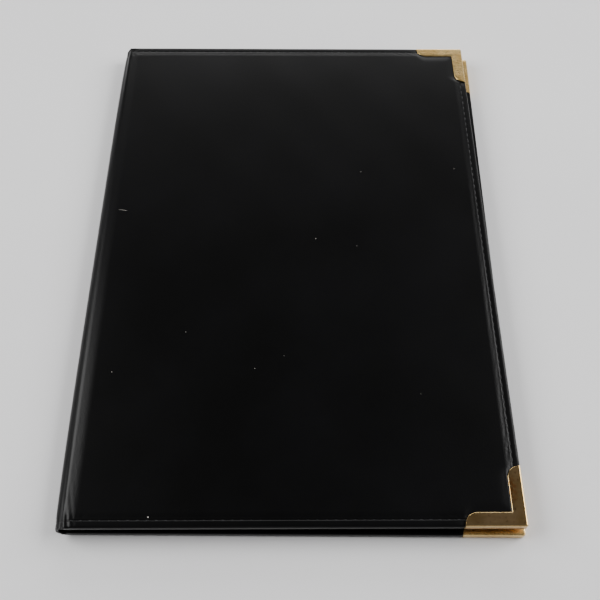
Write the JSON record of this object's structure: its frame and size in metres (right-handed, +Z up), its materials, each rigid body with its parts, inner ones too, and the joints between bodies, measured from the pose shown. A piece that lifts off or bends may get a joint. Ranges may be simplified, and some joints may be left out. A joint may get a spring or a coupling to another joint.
{
  "type": "padfolio",
  "caption": "Slim closed padfolio: two padded leather covers on a soft rolled spine, folded brass corner protectors, a writing pad in a sleeve, a document pocket and card pockets.",
  "frame": {"origin": "centre of the back cover's underside, on the surface that it rests on", "axes": "+X from the spine to the fore-edge, +Y from the foot to the head, +Z up through the closed folio"},
  "size_m": [0.2285, 0.3219, 0.0126],
  "materials": {
    "leather": "smooth polished black leather, semi-gloss",
    "lining": "fine black woven lining",
    "pocket": "thin satin leather",
    "foam": "thin foam padding",
    "board": "grey-brown board",
    "brass": "polished, tarnished along the edges",
    "paper": "ruled writing paper",
    "card": "plain grey card",
    "strip": "dark binding paper"
  },
  "bodies": {
    "back_cover": {"back_cover_leather": "leather", "back_cover_foam": "foam", "back_cover_board": "board", "back_lining": "lining", "brass_corner_back_head": "brass", "brass_corner_back_foot": "brass", "pad_sleeve": "pocket", "pad_backing_card": "card", "pad_sheets": "paper", "pad_binding_strip": "strip"},
    "spine": {"spine_leather": "leather", "spine_lining": "lining"},
    "front_cover": {"front_cover_leather": "leather", "front_cover_foam": "foam", "front_cover_board": "board", "front_lining": "lining", "brass_corner_front_head": "brass", "brass_corner_front_foot": "brass", "document_pocket": "pocket", "card_pocket_upper": "pocket", "card_pocket_lower": "pocket"}
  },
  "joints": [
    {"name": "spine_hinge", "type": "hinge", "parent": "back_cover", "child": "spine", "pos_m": [-0.11348, 0, 0.0026], "axis": [0, -1, 0], "range_deg": [0, 90]},
    {"name": "cover_hinge", "type": "hinge", "parent": "spine", "child": "front_cover", "pos_m": [-0.11348, 0, 0.01], "axis": [0, -1, 0], "range_deg": [0, 90]}
  ]
}
